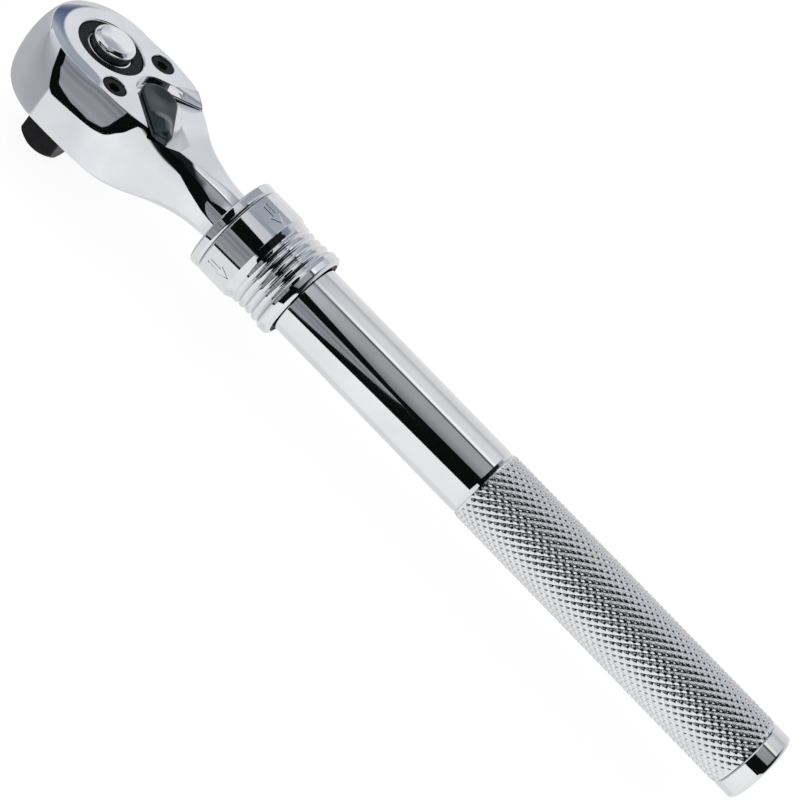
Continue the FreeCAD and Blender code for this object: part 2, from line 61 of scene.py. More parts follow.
SCOOP_SLOPE = 0.50
PIVOT_X = 15.5
POCKET_TOP = 7.6
PLATE_UNDERSIDE = 6.6
SCREWS = [(8.7, -9.9), (8.7, 9.9)]
KNURL_STARTS = 31
KNURL_PITCH = 2.35
KNURL_STEPS = 5
KNURL_START, KNURL_END = 124.6, 205.0
HANDLE_END = 210.0
TUBE_R, KNURL_R, BAND_R = 8.96, 9.3, 9.12
COLLAR_R = 11.95
HUB_BORE, PLATE_BORE, PIVOT_BORE, SCREW_BORE = 8.06, 8.14, 2.26, 1.51
SHANK_R, SHANK_START, SHANK_END = 6.2, 44.0, 165.0
GROOVES, GROOVE_START, GROOVE_PITCH = 5, 54.5, 22
GROOVE_BALL_R, GROOVE_STAND_OFF = 1.65, 1.15

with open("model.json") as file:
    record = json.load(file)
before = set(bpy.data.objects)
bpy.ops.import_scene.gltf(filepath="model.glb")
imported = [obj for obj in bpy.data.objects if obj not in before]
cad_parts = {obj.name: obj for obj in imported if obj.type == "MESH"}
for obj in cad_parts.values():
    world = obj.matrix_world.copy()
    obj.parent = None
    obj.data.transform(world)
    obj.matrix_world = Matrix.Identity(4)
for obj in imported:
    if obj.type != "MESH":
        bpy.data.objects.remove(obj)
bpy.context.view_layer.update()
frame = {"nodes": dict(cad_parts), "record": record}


# ---------------------------------------------------------------- materials

def node(tree, kind, **values):
    """A node with its inputs set by name; a value that is a socket is linked."""
    made = tree.nodes.new(kind)
    for name, value in values.items():
        if hasattr(made, name) and not isinstance(value, bpy.types.NodeSocket):
            setattr(made, name, value)
            continue
        key = int(name[1:]) if name[0] == "i" and name[1:].isdigit() else name.replace("_", " ")
        if isinstance(value, bpy.types.NodeSocket):
            tree.links.new(value, made.inputs[key])
        else:
            made.inputs[key].default_value = value
    return made


def ramp(tree, factor, stops, interpolation="LINEAR"):
    made = node(tree, "ShaderNodeValToRGB", Fac=factor)
    made.color_ramp.interpolation = interpolation
    elements = made.color_ramp.elements
    while len(elements) > 1:
        elements.remove(elements[-1])
    elements[0].position, elements[0].color = stops[0][0], (*stops[0][1], 1)
    for position, colour in stops[1:]:
        elements.new(position).color = (*colour, 1)
    return made.outputs["Color"]


def surface(name, dark, light, rough, metal=1.0, grain=(400, 400, 400), grain_depth=0.02,
            swell=(60, 60, 60), swell_depth=0.0, coat=0.0, patch=90.0, gleam=0.5):
    """Procedural metal or rubber: cloudy tone, uneven gloss, fine grain and a slow swell."""
    material = bpy.data.materials.new(name)
    material.use_nodes = True
    tree = material.node_tree
    shader = tree.nodes["Principled BSDF"]
    where = node(tree, "ShaderNodeTexCoord").outputs["Object"]
    cloud = node(tree, "ShaderNodeTexNoise", Vector=where, Scale=patch, Detail=5.0,
                 Roughness=0.6).outputs["Fac"]
    tone = ramp(tree, cloud, [(0.3, dark), (0.7, light)])
    tree.links.new(tone, shader.inputs["Base Color"])
    gloss = node(tree, "ShaderNodeMapRange", Value=cloud, From_Min=0.3, From_Max=0.7,
                 To_Min=rough[0], To_Max=rough[1]).outputs["Result"]
    tree.links.new(gloss, shader.inputs["Roughness"])
    shader.inputs["Metallic"].default_value = metal
    shader.inputs["Coat Weight"].default_value = coat
    shader.inputs["Specular IOR Level"].default_value = gleam
    stretched = node(tree, "ShaderNodeMapping", Vector=where, Scale=grain).outputs["Vector"]
    fine = node(tree, "ShaderNodeTexNoise", Vector=stretched, Scale=1.0, Detail=4.0)
    bump = node(tree, "ShaderNodeBump", Strength=1.0, Distance=grain_depth * MM,
                Height=fine.outputs["Fac"])
    if swell_depth:
        slow = node(tree, "ShaderNodeMapping", Vector=where, Scale=swell).outputs["Vector"]
        wave = node(tree, "ShaderNodeTexNoise", Vector=slow, Scale=1.0, Detail=1.0)
        bump = node(tree, "ShaderNodeBump", Strength=1.0, Distance=swell_depth * MM,
                    Height=wave.outputs["Fac"], Normal=bump.outputs["Normal"])
    tree.links.new(bump.outputs["Normal"], shader.inputs["Normal"])
    return material


CHROME = surface("polished_chrome", (0.80, 0.82, 0.86), (0.90, 0.91, 0.94), (0.015, 0.05),
                 grain=(900, 900, 900), grain_depth=0.0006,
                 swell=(140, 140, 140), swell_depth=0.020)
BUTTON = surface("button_chrome", (0.93, 0.94, 0.96), (0.98, 0.98, 0.99), (0.01, 0.03),
                 grain=(900, 900, 900), grain_depth=0.0006,
                 swell=(200, 200, 200), swell_depth=0.030)
HANDLE = surface("handle_chrome", (0.83, 0.84, 0.86), (0.91, 0.92, 0.93), (0.02, 0.06),
                 grain=(60, 1500, 1500), grain_depth=0.0008,
                 swell=(25, 160, 160), swell_depth=0.010)
KNURL = surface("knurled_chrome", (0.80, 0.81, 0.83), (0.90, 0.91, 0.92), (0.08, 0.16),
                grain=(1200, 1200, 1200), grain_depth=0.003)
COLLAR = surface("collar_chrome", (0.80, 0.82, 0.85), (0.90, 0.91, 0.93), (0.02, 0.07),
                 grain=(1500, 300, 300), grain_depth=0.0010,
                 swell=(120, 120, 120), swell_depth=0.010)
OXIDE = surface("black_oxide", (0.004, 0.004, 0.005), (0.011, 0.011, 0.013), (0.30, 0.45),
                metal=0.0, grain=(2500, 2500, 2500), grain_depth=0.01, patch=500.0, gleam=0.14)
LEVER = surface("gunmetal", (0.012, 0.021, 0.027), (0.034, 0.054, 0.066), (0.12, 0.20),
                metal=0.8, grain=(1500, 1500, 1500), grain_depth=0.003, patch=160.0, coat=0.3)
SPRING = surface("spring_steel", (0.25, 0.25, 0.26), (0.45, 0.45, 0.46), (0.25, 0.40),
                 grain=(900, 900, 900))
HARDENED = surface("hardened_steel", (0.42, 0.42, 0.44), (0.62, 0.62, 0.64), (0.12, 0.25),
                   grain=(1200, 1200, 1200), grain_depth=0.004)
BRONZE = surface("bush_bronze", (0.35, 0.20, 0.08), (0.55, 0.33, 0.14), (0.28, 0.42),
                 grain=(1500, 300, 300))
RUBBER = surface("wiper_rubber", (0.010, 0.010, 0.010), (0.030, 0.030, 0.030), (0.55, 0.75),
                 metal=0.0, grain=(2500, 2500, 2500), grain_depth=0.02, patch=400.0)
FINISH = {"polished_chrome": CHROME, "handle_chrome": HANDLE, "collar_chrome": COLLAR,
          "black_oxide": OXIDE, "gunmetal": LEVER, "spring_steel": SPRING,
          "hardened_steel": HARDENED, "bush_bronze": BRONZE, "wiper_rubber": RUBBER}


# ---------------------------------------------------------------- mesh helpers

def solid(name, points, faces):
    """Closed mesh from millimetre points, with heights about the handle's axis."""
    mesh = bpy.data.meshes.new(name)
    mesh.from_pydata([(x * MM, y * MM, (z + AXIS_Z) * MM) for x, y, z in points], [], faces)
    work = bmesh.new()
    work.from_mesh(mesh)
    bmesh.ops.remove_doubles(work, verts=work.verts, dist=TINY)
    bmesh.ops.recalc_face_normals(work, faces=work.faces)
    work.to_mesh(mesh)
    work.free()
    made = bpy.data.objects.new(name, mesh)
    bpy.context.scene.collection.objects.link(made)
    return made


def rounded(corners, steps=5):
    """Outline through (u, v, radius) corners, each corner turned into an arc."""
    outline = []
    for i, (u, v, radius) in enumerate(corners):
        here = Vector((u, v))
        if radius <= 0:
            outline.append((u, v))
            continue
        before = Vector(corners[i - 1][:2]) - here
        after = Vector(corners[(i + 1) % len(corners)][:2]) - here
        half = before.angle(after) / 2
        cut = min(radius / math.tan(half), 0.49 * before.length, 0.49 * after.length)
        before.normalize()
        after.normalize()
        centre = here + (before + after).normalized() * cut / math.cos(half)
        start, end = here + before * cut - centre, here + after * cut - centre
        for k in range(steps + 1):
            spoke = start.slerp(end, k / steps) * start.length
            outline.append(tuple(centre + spoke))
    return outline


def lathe(name, outline, upright=False, segments=160):
    """Solid of revolution from an (along, radius) outline, about the handle or the drive."""
    points, faces = [], []
    count = len(outline)
    for k in range(segments):
        c, s = math.cos(TURN * k / segments), math.sin(TURN * k / segments)
        for along, radius in outline:
            points.append((radius * c, radius * s, along) if upright
                          else (along, radius * c, radius * s))
    for k in range(segments):
        here, there = k * count, (k + 1) % segments * count
        for i in range(count):
            j = (i + 1) % count
            faces.append((here + i, here + j, there + j, there + i))
    return solid(name, points, faces)


def stack(name, layers):
    """Solid through closed outlines of equal length: (outline of (x, y) points, z) layers."""
    points = [(x, y, z) for outline, z in layers for x, y in outline]
    count = len(layers[0][0])
    faces = [tuple(range(count - 1, -1, -1))]
    for k in range(len(layers) - 1):
        for i in range(count):
            j = (i + 1) % count
            faces.append((k * count + i, k * count + j, (k + 1) * count + j, (k + 1) * count + i))
    faces.append(tuple(range((len(layers) - 1) * count, len(layers) * count)))
    return solid(name, points, faces)


def circle(radius, x=0.0, y=0.0, count=96):
    """Outline of a circle, as (x, y) points."""
    return [(x + radius * math.cos(TURN * k / count), y + radius * math.sin(TURN * k / count))
            for k in range(count)]


def carve(target, cutters, operation="DIFFERENCE"):
    """Exact booleans, baked into the target's mesh."""
    for cutter in cutters:
        step = target.modifiers.new("carve", "BOOLEAN")
        step.operation = operation
        step.solver = "EXACT"
        step.object = cutter
        carved = bpy.data.meshes.new_from_object(
            target.evaluated_get(bpy.context.evaluated_depsgraph_get()))
        target.modifiers.clear()
        target.data = carved
    for cutter in cutters:
        bpy.data.objects.remove(cutter)
    return target


def finish(piece, material, angle=32.0, weighted=True):
    """Smooth shading with crisp edges, and the one material on every face."""
    mesh = piece.data
    mesh.materials.clear()
    mesh.materials.append(material)
    mesh.polygons.foreach_set("material_index", [0] * len(mesh.polygons))
    mesh.polygons.foreach_set("use_smooth", [True] * len(mesh.polygons))
    mesh.set_sharp_from_angle(angle=math.radians(angle))
    if weighted:
        even = piece.modifiers.new("even normals", "WEIGHTED_NORMAL")
        even.keep_sharp = True
        even.weight = 80
    return piece


def place(piece, body, slot, *nodes):
    """The piece rides a body and stands in for the CAD nodes named; the slot argument is not used.
    """
    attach(piece, body)
    if nodes:
        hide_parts(*nodes)
    return piece


def ease(low, high, value):
    """0 up to low, 1 from high, and a smooth step between."""
    part = min(1.0, max(0.0, (value - low) / (high - low)))
    return part * part * (3 - 2 * part)


# ---------------------------------------------------------------- head

def bends(values):
    """Second derivatives of the smooth curve through the head's rows, level at both ends."""
    xs = [row[0] for row in HEAD]
    last = len(xs) - 1
    above, out = [0.5], [3 / (xs[1] - xs[0]) * (values[1] - values[0]) / (xs[1] - xs[0])]
    for k in range(1, last + 1):
        before = xs[k] - xs[k - 1]
        slope = (values[k] - values[k - 1]) / before
        if k == last:
            share, push = 1.0, -3 / before * slope
        else:
            after = xs[k + 1] - xs[k]
            share = before / (before + after)
            push = 3 * ((values[k + 1] - values[k]) / after - slope) / (before + after)
        below = share * above[-1] + 2
        out.append((2 * push - share * out[-1]) / below)
        above.append((share - 1) / below)
    for k in range(last - 1, -1, -1):
        out[k] += (above[k] if k else -0.5) * out[k + 1]
    return out


BENDS = [bends([row[k] for row in HEAD]) for k in range(1, 6)]


def station(x):
    """Half widths, top and underside of the head at x, along smooth curves."""
    k = 0
    while k < len(HEAD) - 2 and x > HEAD[k + 1][0]:
        k += 1
    low, high = HEAD[k], HEAD[k + 1]
    width = high[0] - low[0]
    b = (x - low[0]) / width
    a = 1 - b
    return [a * low[n + 1] + b * high[n + 1]
            + ((a ** 3 - a) * BENDS[n][k] + (b ** 3 - b) * BENDS[n][k + 1]) * width ** 2 / 6
            for n in range(5)]


def half_section(x):
    """(y, z) points from the top's middle round one side to the underside's middle."""
    half, top_half, bottom_half, top, bottom = station(x)
    crown = CROWN_DROP * (1 - ease(2.0, 9.0, x))
    lean = (0.50 + 0.20 * ease(-2.0, 24.0, x)) * (1 - ease(22.0, 36.0, x))
    middle = -0.6 * (half - 6.2) / 10.1
    points = []
    flat = [0, 0.2, 0.4, 0.6, 0.7] + [CROWN_START + (1 - CROWN_START) * k / 14 for k in range(14)]
    for u in flat:
        rise = max(0.0, (u - CROWN_START) / (1 - CROWN_START))
        points.append((u * top_half, top - crown * rise ** 2))
    edge = top - crown
    wall = []
    for k in range(1, 31):
        a = lean + (math.pi / 2 - lean) * (k / 30) ** 1.25
        wall.append((top_half + (half - top_half) * (math.sin(a) - math.sin(lean))
                     / (1 - math.sin(lean)),
                     middle + (edge - middle) * math.cos(a) / math.cos(lean)))
    before, after = Vector(points[-1]), Vector(wall[0])
    corner = Vector((top_half, edge))
    reach = EDGE_ROUND * (1 - 0.5 * ease(30, 40, x))
    start = corner + (before - corner).normalized() * reach
    end = corner + (after - corner).normalized() * reach
    if (before - corner).length < reach * 1.2:
        points.pop()
    for k in range(7):
        t = k / 6
        points.append(tuple(start * (1 - t) ** 2 + corner * 2 * t * (1 - t) + end * t * t))
    points += [w for w in wall if (Vector(w) - corner).length > reach * 1.3]
    for k in range(1, 29):
        a = math.pi / 2 * (1 + k / 28)
        points.append((bottom_half + (half - bottom_half) * math.sin(a),
                       middle + (middle - bottom) * math.cos(a)))
    for u in (0.97, 0.9, 0.7, 0.4, 0):
        points.append((bottom_half * u, bottom))
    return points


def even_out(points, count):
    """The same path with a fixed number of points, kept dense where it was dense."""
    last = len(points) - 1
    path = []
    for k in range(count):
        at = k / (count - 1) * last
        i = min(int(at), last - 1)
        (y0, z0), (y1, z1) = points[i], points[i + 1]
        path.append((y0 + (y1 - y0) * (at - i), z0 + (z1 - z0) * (at - i)))
    return path


def head_blank(name):
    """Nose turned about the drive's axis, drawn down to a round neck."""
    columns = []
    xs = [44.3 * (k / 96) for k in range(96, 0, -1)]
    count = 92
    for x in xs:
        columns.append([(x, y, z) for y, z in even_out(half_section(x), count)])
    nose = even_out(half_section(0.0), count)
    for k in range(81):
        a = math.pi / 2 + math.pi * k / 80
        columns.append([(r * math.cos(a), r * math.sin(a), z) for r, z in nose])
    for x in reversed(xs):
        columns.append([(x, -y, z) for y, z in even_out(half_section(x), count)])
    points = [p for column in columns for p in column]
    faces = []
    for k in range(len(columns) - 1):
        for i in range(count - 1):
            a = k * count + i
            faces.append((a, a + 1, a + count + 1, a + count))
    last = (len(columns) - 1) * count
    faces.append(tuple(range(count - 1, -1, -1)) + tuple(range(last + 1, last + count - 1)))
    return solid(name, points, faces)


def notch_outline(grow, flare):
    """The lever's notch: an arc round its pivot, with sides that splay and lean to the neck."""
    radius, lean = NOTCH_R + grow, math.radians(NOTCH_ANGLE)
    reach = 34.0
    tip = (PIVOT_X - radius * math.sin(lean) + reach * math.cos(lean) - flare * math.sin(lean),
           radius * math.cos(lean) + reach * math.sin(lean) + flare * math.cos(lean))
    outline = [tip]
    for k in range(49):
        a = math.pi / 2 + lean + (math.pi - 2 * lean) * k / 48
        outline.append((PIVOT_X + radius * math.cos(a), radius * math.sin(a)))
    outline.append((tip[0], -tip[1]))
    return outline


def notch_cutter():
    """A low steep wall with a fillet at the floor and a broken top edge."""
    shape = [(-0.42, 0.0, POCKET_TOP), (-0.30, 0.0, POCKET_TOP + 0.02),
             (-0.18, 0.0, POCKET_TOP + 0.08), (-0.08, 0.0, POCKET_TOP + 0.20),
             (-0.02, 0.0, POCKET_TOP + 0.36), (0.38, 0.0, FACE - 0.14), (0.56, 0.0, FACE + 0.02),
             (1.2, 0.0, FACE + 1.0)]
    return stack("notch", [(notch_outline(grow, flare), z) for grow, flare, z in shape])


def scoop_cutter():
    """Shallow ramp outside the notch's far wall, from nothing at the arc to a wide scoop."""
    lean, radius, reach = math.radians(NOTCH_ANGLE), NOTCH_R - 0.5, 16.0
    start = Vector((PIVOT_X - radius * math.sin(lean), radius * math.cos(lean)))
    outer = Vector((math.cos(lean + SCOOP_SPREAD), math.sin(lean + SCOOP_SPREAD)))
    inner = Vector((math.cos(lean - 0.04), math.sin(lean - 0.04)))
    far, near = start + outer * reach, start + inner * reach
    drop = SCOOP_SLOPE * reach * math.sin(SCOOP_SPREAD + 0.04)
    floor = [(start.x, start.y, FACE + 0.05), (far.x, far.y, FACE + 0.05),
             (near.x, near.y, FACE + 0.05 - drop)]
    points = floor + [(x, y, FACE + 2) for x, y, _ in floor]
    faces = [(0, 1, 2), (3, 4, 5), (0, 1, 4, 3), (1, 2, 5, 4), (2, 0, 3, 5)]
    return solid("scoop", points, faces)


def plate_outline(inset):
    """Edge of the face plate, set in from the head's: nose arc, sides and a rear arc."""
    nose_r, side_x = 14.3 - inset, 14.0
    rear_r = 6.6 - (inset - 0.8)
    outline = []
    for k in range(61):
        a = math.pi * (0.5 + k / 60)
        outline.append((nose_r * math.cos(a), nose_r * math.sin(a)))
    side = []
    for k in range(1, 13):
        x = side_x * k / 12
        side.append((x, -(station(x)[1] - inset)))
    rear = []
    for k in range(25):
        a = math.radians(-40 + 80 * k / 24)
        rear.append((PIVOT_X + rear_r * math.cos(a), rear_r * math.sin(a)))
    return outline + side + rear + [(x, -y) for x, y in reversed(side)]


def rimmed_hole(radius, bottom, top, rim, x=0.0, y=0.0, count=128):
    """Cutter for a round hole whose mouth is chamfered by rim."""
    return stack("hole", [(circle(radius, x, y, count), bottom),
                          (circle(radius, x, y, count), top - rim),
                          (circle(radius + rim * 0.35, x, y, count), top - rim * 0.4),
                          (circle(radius + rim, x, y, count), top),
                          (circle(radius + rim + 1.0, x, y, count), top + 1.0)])


def borrow_normals(piece, reference):
    """Gives faces left from the uncut surface that surface's own smooth normals."""
    work = bmesh.new()
    work.from_mesh(reference.data)
    bmesh.ops.triangulate(work, faces=work.faces)
    work.normal_update()
    work.faces.ensure_lookup_table()
    tree = BVHTree.FromBMesh(work)
    mesh = piece.data
    normals = [Vector(n.vector) for n in mesh.corner_normals]
    for face in mesh.polygons:
        _, facing, _, gap = tree.find_nearest(face.center)
        if gap > 0.03 * MM or facing.dot(face.normal) < 0.97:
            continue
        for loop in face.loop_indices:
            at = mesh.vertices[mesh.loops[loop].vertex_index].co
            spot, _, index, gap = tree.find_nearest(at)
            a, b, c = work.faces[index].verts
            weights = barycentric(spot, a.co, b.co, c.co)
            normal = a.normal * weights[0] + b.normal * weights[1] + c.normal * weights[2]
            if gap < 0.03 * MM and normal.dot(face.normal) > 0.8:
                normals[loop] = normal.normalized()
    mesh.normals_split_custom_set(normals)
    work.free()


def barycentric(p, a, b, c):
    """Weights of triangle a, b, c at the point p in its plane."""
    u, v, w = b - a, c - a, p - a
    uu, uv, vv, wu, wv = u.dot(u), u.dot(v), v.dot(v), w.dot(u), w.dot(v)
    scale = uu * vv - uv * uv
    if scale <= 0:
        return 1.0, 0.0, 0.0
    s, t = (vv * wu - uv * wv) / scale, (uu * wv - uv * wu) / scale
    return 1 - s - t, s, t


def flat_prism(outline, bottom, top):
    """Upright prism between two heights."""
    return stack("prism", [(outline, bottom), (outline, top)])


def head_pieces():
    """Head forging and its cover plate, both cut from one surface so that they run flush."""
    reference = head_blank("reference")
    head = head_blank("head_forging")
    cutters = [flat_prism(circle(10.3, count=96), -5.2, PLATE_UNDERSIDE + 0.5),
               rimmed_hole(HUB_BORE, UNDERSIDE - 1, FACE, 0.01),
               rimmed_underside(),
               flat_prism(plate_outline(0.8), PLATE_UNDERSIDE, FACE + 1),
               notch_cutter(), scoop_cutter(),
               flat_prism(circle(PIVOT_BORE, PIVOT_X, 0, 48), -4.3, FACE)]
    for x, y in SCREWS:
        cutters.append(flat_prism(circle(SCREW_BORE, x, y, 32), -0.1, FACE))
    carve(head, cutters)
    finish(head, CHROME, weighted=False)
    borrow_normals(head, reference)
    place(head, "head", "polished_chrome", "ratchet_body")

    plate = head_blank("face_plate")
    carve(plate, [flat_prism(plate_outline(0.815), PLATE_UNDERSIDE, FACE + 1)], "INTERSECT")
    cutters = [rimmed_hole(PLATE_BORE, 0, FACE, 0.30), notch_cutter(), scoop_cutter(),
               flat_prism(circle(PIVOT_BORE, PIVOT_X, 0, 48), 0, FACE)]
    for x, y in SCREWS:
        cutters.append(rimmed_hole(2.88, 7.8, FACE, 0.16, x, y, 72))
        cutters.append(flat_prism(circle(SCREW_BORE, x, y, 32), 0, 8.5))
    carve(plate, cutters)
    finish(plate, CHROME, weighted=False)
    borrow_normals(plate, reference)
    place(plate, "head", "polished_chrome", "cover_plate")
    bpy.data.objects.remove(reference)


def rimmed_underside():
    """Chamfer round the gear's lower hub."""
    return stack("rim", [(circle(9.4), UNDERSIDE - 1.0), (circle(8.4), UNDERSIDE),
                         (circle(HUB_BORE), UNDERSIDE + 0.34)])


def shank():
    """Sliding shank with its five round lock grooves."""
    outline = [(SHANK_START, 0), (SHANK_END, 0)]
    outline += [(SHANK_END, 5.6), (164.82, 6.02), (164.4, SHANK_R)]
    half = math.sqrt(GROOVE_BALL_R ** 2 - GROOVE_STAND_OFF ** 2)
    for k in range(GROOVES - 1, -1, -1):
        centre = GROOVE_START + GROOVE_PITCH * k
        outline.append((centre + half + 0.15, SHANK_R))
        for i in range(11):
            x = half * (1 - i / 5)
            outline.append((centre + x, SHANK_R + GROOVE_STAND_OFF
                            - math.sqrt(GROOVE_BALL_R ** 2 - x * x)))
        outline.append((centre - half - 0.15, SHANK_R))
    outline.append((SHANK_START, SHANK_R))
    piece = lathe("shank", outline, segments=128)
    finish(piece, HANDLE)
    place(piece, "head", "handle_chrome")


def screws():
    """Cover screws: round heads with a rolled edge and a hexagon socket."""
    for i, (x, y) in enumerate(SCREWS):
        outline = rounded([(2.75, 7.8, 0), (2.75, 9.5, 0.14), (1.45, 9.5, 0)], 4)[:-1]
        layers = [(circle(1.45, x, y, 72), 0.4), (circle(1.45, x, y, 72), 7.8)]
        layers += [(circle(r, x, y, 72), z) for r, z in outline]
        head = stack("cover_screw_%d" % (i + 1), layers)
        turn = math.radians(22 + 31 * i)
        socket = [(x + 1.38 * math.cos(turn + TURN * k / 6),
                   y + 1.38 * math.sin(turn + TURN * k / 6)) for k in range(6)]
        mouth = [(x + (px - x) * 1.1, y + (py - y) * 1.1) for px, py in socket]
        carve(head, [stack("socket", [(socket, 8.3), (socket, 9.42), (mouth, 9.52)])])
        finish(head, OXIDE, weighted=False)
        if i:
            place(head, "head", "black_oxide")
        else:
            place(head, "head", "black_oxide", "cover_screws")


# ---------------------------------------------------------------- drive

def drive():
    """Gear with its hub ring, and the drive square with its turned end chamfer."""
    hub = lathe("drive_hub", [(z, r) for r, z in rounded([
        (5.6, 5.3, 0), (5.6, 9.3, 0.18), (8.0, 9.3, 0.22), (8.0, -8.6, 0.35), (2.6, -8.6, 0),
        (2.6, 5.3, 0)], 5)], upright=True)
    teeth = []
    for i in range(144):
        radius = 10.2 if i % 2 == 0 else 9.75
        teeth.append((radius * math.cos(math.pi * i / 72), radius * math.sin(math.pi * i / 72)))
    ring = stack("gear_teeth", [(teeth, -5.1), (teeth, 5.6)])
    carve(ring, [flat_prism(circle(7.9), -6, 6)])
    finish(ring, OXIDE, weighted=False)
    finish(hub, OXIDE)

    side, corner = 9.525 / 2, 0.62
    outline = [tuple(p) for p in rounded([(side, side, corner), (-side, side, corner),
                                          (-side, -side, corner), (side, -side, corner)], 5)]
    square = stack("drive_square_end", [(outline, -AXIS_Z), (outline, -8.55)])
    turned = lathe("turned", rounded([(-AXIS_Z, 0, 0), (-AXIS_Z, 4.7, 1.1), (-19.6, 6.5, 1.8),
                                      (-7.0, 6.5, 0), (-7.0, 0, 0)], 5), upright=True)
    carve(square, [turned], "INTERSECT")
    ball_well = lathe("well", [(0, 0), (0, 1.95), (4.55, 1.95), (4.9, 2.3), (4.9, 0)])
    for vertex in ball_well.data.vertices:
        x, y, z = vertex.co
        vertex.co = (y, x, z - 15.0 * MM)
    carve(square, [ball_well])
    soften = square.modifiers.new("soften", "BEVEL")
    soften.width = 0.14 * MM
    soften.segments = 2
    soften.angle_limit = math.radians(40)
    finish(square, OXIDE)
    place(hub, "spindle", "black_oxide", "drive_gear")
    place(ring, "spindle", "black_oxide")
    place(square, "spindle", "black_oxide")


def button():
    """Chromed quick-release button: tapered wall, round shoulder and a faintly domed top."""
    outline = rounded([(0, 8.0, 0), (5.5, 8.0, 0.2), (5.5, 8.9, 0.15), (5.1, 9.0, 0.1),
                       (5.1, 11.6, 0.9), (4.2, 12.26, 0.5), (1.6, 12.4, 1.5), (0, 12.4, 0)], 8)
    piece = lathe("release_button_cap", [(z, r) for r, z in outline], upright=True)
    finish(piece, BUTTON, angle=60)
    place(piece, "release", "polished_chrome", "release_button")


# ---------------------------------------------------------------- lever

LEVER_TURN = math.radians(-48.6)


def lever_point(along, across):
    """Place in the head of a point measured along and across the lever."""
    c, s = math.cos(LEVER_TURN), math.sin(LEVER_TURN)
    return PIVOT_X + along * c - across * s, along * s + across * c


def lever():
    """Paddle with a dished base, a raised thumb boss and softly rounded edges."""
    base_r, tip_r, reach = 4.5, 2.4, 10.9
    lean = math.asin((base_r - tip_r) / reach)
    rim = []
    for k in range(41):
        a = math.pi / 2 - lean + (math.pi + 2 * lean) * k / 40
        rim.append(((0, 0), (base_r * math.cos(a), base_r * math.sin(a))))
    for k in range(1, 24):
        t = k / 24
        radius = base_r + (tip_r - base_r) * t
        a = -(math.pi / 2 - lean)
        rim.append(((reach * t, 0), (reach * t + radius * math.cos(a), radius * math.sin(a))))
    for k in range(33):
        a = -(math.pi / 2 - lean) + (math.pi - 2 * lean) * k / 32
        rim.append(((reach, 0), (reach + tip_r * math.cos(a), tip_r * math.sin(a))))
    for k in range(1, 24):
        t = 1 - k / 24
        radius = base_r + (tip_r - base_r) * t
        a = math.pi / 2 - lean
        rim.append(((reach * t, 0), (reach * t + radius * math.cos(a), radius * math.sin(a))))

    def height(along, across, inset):
        dish = 0.34 * math.exp(-((along + 0.2) / 3.0) ** 2 - (across / 3.0) ** 2)
        boss = 0.95 * ease(4.6, 8.4, along) * math.exp(-(across / 2.1) ** 2)
        boss *= 1 - ease(11.0, 13.6, along)
        edge = min(1.0, inset / 0.55)
        return 9.35 - dish + boss * ease(0, 1.4, inset) + 0.35 * math.sqrt(1 - (1 - edge) ** 2)

    rings = []
    for z in (7.75, 7.8, 8.6, 9.2):
        shrink = 0.0 if z > 7.76 else 0.06
        rings.append([(*lever_point(ox - shrink * (ox - mx) / 4, oy * (1 - shrink / 4)),
                       z + (9.2 - z) * 0.3 * ease(3.0, 10.9, mx)) for (mx, my), (ox, oy) in rim])
    for k in range(1, 31):
        scale = 1 - (k / 30) ** 1.4
        ring = []
        for (mx, my), (ox, oy) in rim:
            radius = math.hypot(ox - mx, oy - my)
            along, across = mx + (ox - mx) * scale, my + (oy - my) * scale
            ring.append((*lever_point(along, across), height(along, across, radius * (1 - scale))))
        rings.append(ring)
    count = len(rim)
    points = [p for ring in rings for p in ring]
    faces = [tuple(range(count))]
    for k in range(len(rings) - 1):
        for i in range(count):
            j = (i + 1) % count
            faces.append((k * count + i, k * count + j, (k + 1) * count + j, (k + 1) * count + i))
    paddle = solid("lever_paddle", points, faces)
    finish(paddle, LEVER, angle=50, weighted=False)
    shaft = lathe("lever_shaft", [(-4.0, 0), (-4.0, 2.0), (-3.8, 2.2), (5.2, 2.2), (5.2, 3.2),
                                  (6.5, 3.2), (6.5, 2.2), (7.9, 2.2), (7.9, 0)], upright=True,
                  segments=64)
    for vertex in shaft.data.vertices:
        vertex.co.x += PIVOT_X * MM
    finish(shaft, LEVER)
    place(paddle, "reverser", "gunmetal", "reversing_lever")
    place(shaft, "reverser", "gunmetal")


# ---------------------------------------------------------------- handle

